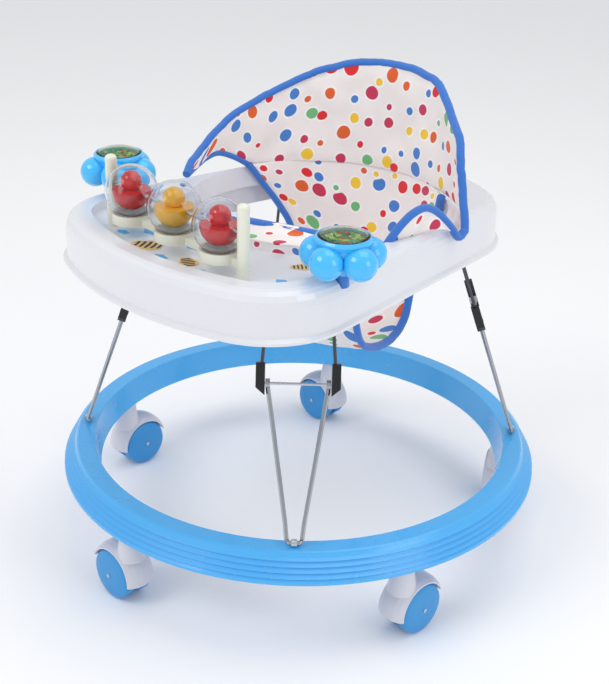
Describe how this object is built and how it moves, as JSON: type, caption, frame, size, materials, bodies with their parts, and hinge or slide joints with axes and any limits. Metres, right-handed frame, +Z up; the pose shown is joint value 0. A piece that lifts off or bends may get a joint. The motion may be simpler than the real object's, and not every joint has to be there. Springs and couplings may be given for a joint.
{
  "type": "baby walker",
  "caption": "Round folding baby walker with a castered base ring, wire legs, a toy tray with spinning toys and a hanging cloth seat.",
  "frame": {"origin": "on the floor under the middle of the base ring", "axes": "+Z up, the toy tray's front faces -Y, +X to the right seen from the front"},
  "size_m": [0.5799, 0.58, 0.5608],
  "materials": {
    "ring_blue": "gloss",
    "steel": "satin",
    "hood_white": "satin",
    "wheel_blue": "satin",
    "chrome_wire": "polished",
    "dark_wire": "satin",
    "black_plastic": "matt",
    "tray_white": "gloss",
    "sticker": "printed film",
    "ivory": "gloss",
    "clear": "clear",
    "toy_red": "gloss",
    "toy_yellow": "gloss",
    "stem_blue": "gloss",
    "flower_blue": "gloss",
    "insert_green": "gloss",
    "cloth": "printed cotton",
    "binding": "woven tape"
  },
  "bodies": {
    "base": {"base_ring": "ring_blue", "foot_eyes": "steel"},
    "tray": {"tray": "tray_white", "leg_mounts": "black_plastic", "tray_stickers": "sticker", "toy_frame": "ivory", "toy_rod": "steel", "flower_stems": "stem_blue", "seat_back": "cloth", "seat_sling": "cloth", "seat_piping": "binding"},
    "caster_1": {"caster_stem_1": "steel", "caster_hood_1": "hood_white"},
    "wheels_1": {"caster_wheels_1": "wheel_blue", "caster_axle_1": "steel"},
    "caster_2": {"caster_stem_2": "steel", "caster_hood_2": "hood_white"},
    "wheels_2": {"caster_wheels_2": "wheel_blue", "caster_axle_2": "steel"},
    "caster_3": {"caster_stem_3": "steel", "caster_hood_3": "hood_white"},
    "wheels_3": {"caster_wheels_3": "wheel_blue", "caster_axle_3": "steel"},
    "caster_4": {"caster_stem_4": "steel", "caster_hood_4": "hood_white"},
    "wheels_4": {"caster_wheels_4": "wheel_blue", "caster_axle_4": "steel"},
    "caster_5": {"caster_stem_5": "steel", "caster_hood_5": "hood_white"},
    "wheels_5": {"caster_wheels_5": "wheel_blue", "caster_axle_5": "steel"},
    "lower_leg_1": {"lower_leg_1": "chrome_wire", "knee_rod_1": "steel"},
    "upper_leg_1": {"upper_leg_1": "dark_wire", "knee_blocks_1": "black_plastic"},
    "lower_leg_2": {"lower_leg_2": "chrome_wire", "knee_rod_2": "steel"},
    "upper_leg_2": {"upper_leg_2": "dark_wire", "knee_blocks_2": "black_plastic"},
    "lower_leg_3": {"lower_leg_3": "chrome_wire", "knee_rod_3": "steel"},
    "upper_leg_3": {"upper_leg_3": "dark_wire", "knee_blocks_3": "black_plastic"},
    "lower_leg_4": {"lower_leg_4": "chrome_wire", "knee_rod_4": "steel"},
    "upper_leg_4": {"upper_leg_4": "dark_wire", "knee_blocks_4": "black_plastic"},
    "ball_1": {"ball_shell_1": "clear", "ball_figure_1": "toy_red"},
    "ball_2": {"ball_shell_2": "clear", "ball_figure_2": "toy_yellow"},
    "ball_3": {"ball_shell_3": "clear", "ball_figure_3": "toy_red"},
    "flower_left": {"flower_left": "flower_blue", "dome_left": "clear", "insert_left": "insert_green"},
    "flower_right": {"flower_right": "flower_blue", "dome_right": "clear", "insert_right": "insert_green"}
  },
  "joints": [
    {"name": "caster_1_swivel", "type": "hinge", "parent": "base", "child": "caster_1", "pos_m": [0, -0.2635, 0.09], "axis": [0, 0, 1], "continuous": true},
    {"name": "caster_1_roll", "type": "hinge", "parent": "caster_1", "child": "wheels_1", "pos_m": [-0.017, -0.2635, 0.03], "axis": [0, -1, 0], "continuous": true},
    {"name": "caster_2_swivel", "type": "hinge", "parent": "base", "child": "caster_2", "pos_m": [0.2506, -0.08143, 0.09], "axis": [0, 0, 1], "continuous": true},
    {"name": "caster_2_roll", "type": "hinge", "parent": "caster_2", "child": "wheels_2", "pos_m": [0.2506, -0.06443, 0.03], "axis": [-1, 0, 0], "continuous": true},
    {"name": "caster_3_swivel", "type": "hinge", "parent": "base", "child": "caster_3", "pos_m": [-0.2506, -0.08143, 0.09], "axis": [0, 0, 1], "continuous": true},
    {"name": "caster_3_roll", "type": "hinge", "parent": "caster_3", "child": "wheels_3", "pos_m": [-0.2506, -0.06443, 0.03], "axis": [-1, 0, 0], "continuous": true},
    {"name": "caster_4_swivel", "type": "hinge", "parent": "base", "child": "caster_4", "pos_m": [0.15488, 0.21318, 0.09], "axis": [0, 0, 1], "continuous": true},
    {"name": "caster_4_roll", "type": "hinge", "parent": "caster_4", "child": "wheels_4", "pos_m": [0.14638, 0.2279, 0.03], "axis": [-0.866, -0.5, 0], "continuous": true},
    {"name": "caster_5_swivel", "type": "hinge", "parent": "base", "child": "caster_5", "pos_m": [-0.15488, 0.21318, 0.09], "axis": [0, 0, 1], "continuous": true},
    {"name": "caster_5_roll", "type": "hinge", "parent": "caster_5", "child": "wheels_5", "pos_m": [-0.17188, 0.21318, 0.03], "axis": [0, -1, 0], "continuous": true},
    {"name": "tray_fold", "type": "slide", "parent": "base", "child": "tray", "axis": [0, 0, 1], "range_m": [-0.17, 0], "deforming": ["seat_sling"]},
    {"name": "lower_leg_1_fold", "type": "hinge", "parent": "base", "child": "lower_leg_1", "pos_m": [0.18632, -0.18632, 0.132], "axis": [-0.7071, -0.7071, 0], "range_deg": [0, 62.27]},
    {"name": "upper_leg_1_fold", "type": "hinge", "parent": "tray", "child": "upper_leg_1", "pos_m": [0.12373, -0.12373, 0.386], "axis": [0.7071, 0.7071, 0], "range_deg": [0, 72.75]},
    {"name": "lower_leg_2_fold", "type": "hinge", "parent": "base", "child": "lower_leg_2", "pos_m": [0.18632, 0.18632, 0.132], "axis": [0.7071, -0.7071, 0], "range_deg": [0, 62.27]},
    {"name": "upper_leg_2_fold", "type": "hinge", "parent": "tray", "child": "upper_leg_2", "pos_m": [0.12373, 0.12373, 0.386], "axis": [-0.7071, 0.7071, 0], "range_deg": [0, 72.75]},
    {"name": "lower_leg_3_fold", "type": "hinge", "parent": "base", "child": "lower_leg_3", "pos_m": [-0.18632, 0.18632, 0.132], "axis": [0.7071, 0.7071, 0], "range_deg": [0, 62.27]},
    {"name": "upper_leg_3_fold", "type": "hinge", "parent": "tray", "child": "upper_leg_3", "pos_m": [-0.12373, 0.12373, 0.386], "axis": [-0.7071, -0.7071, 0], "range_deg": [0, 72.75]},
    {"name": "lower_leg_4_fold", "type": "hinge", "parent": "base", "child": "lower_leg_4", "pos_m": [-0.18632, -0.18632, 0.132], "axis": [-0.7071, 0.7071, 0], "range_deg": [0, 62.27]},
    {"name": "upper_leg_4_fold", "type": "hinge", "parent": "tray", "child": "upper_leg_4", "pos_m": [-0.12373, -0.12373, 0.386], "axis": [0.7071, -0.7071, 0], "range_deg": [0, 72.75]},
    {"name": "ball_1_spin", "type": "hinge", "parent": "tray", "child": "ball_1", "pos_m": [-0.0735, -0.19, 0.458], "axis": [1, 0, 0], "continuous": true},
    {"name": "ball_2_spin", "type": "hinge", "parent": "tray", "child": "ball_2", "pos_m": [0, -0.19, 0.458], "axis": [1, 0, 0], "continuous": true},
    {"name": "ball_3_spin", "type": "hinge", "parent": "tray", "child": "ball_3", "pos_m": [0.0735, -0.19, 0.458], "axis": [1, 0, 0], "continuous": true},
    {"name": "flower_left_spin", "type": "hinge", "parent": "tray", "child": "flower_left", "pos_m": [-0.184, -0.125, 0.424], "axis": [0, 0, 1], "continuous": true},
    {"name": "flower_right_spin", "type": "hinge", "parent": "tray", "child": "flower_right", "pos_m": [0.184, -0.125, 0.424], "axis": [0, 0, 1], "continuous": true}
  ],
  "couplings": [
    {"joint": "lower_leg_1_fold", "follows": "tray_fold", "rad_per_m": -6.393},
    {"joint": "upper_leg_1_fold", "follows": "tray_fold", "rad_per_m": -7.4691},
    {"joint": "lower_leg_2_fold", "follows": "tray_fold", "rad_per_m": -6.393},
    {"joint": "upper_leg_2_fold", "follows": "tray_fold", "rad_per_m": -7.4691},
    {"joint": "lower_leg_3_fold", "follows": "tray_fold", "rad_per_m": -6.393},
    {"joint": "upper_leg_3_fold", "follows": "tray_fold", "rad_per_m": -7.4691},
    {"joint": "lower_leg_4_fold", "follows": "tray_fold", "rad_per_m": -6.393},
    {"joint": "upper_leg_4_fold", "follows": "tray_fold", "rad_per_m": -7.4691}
  ]
}
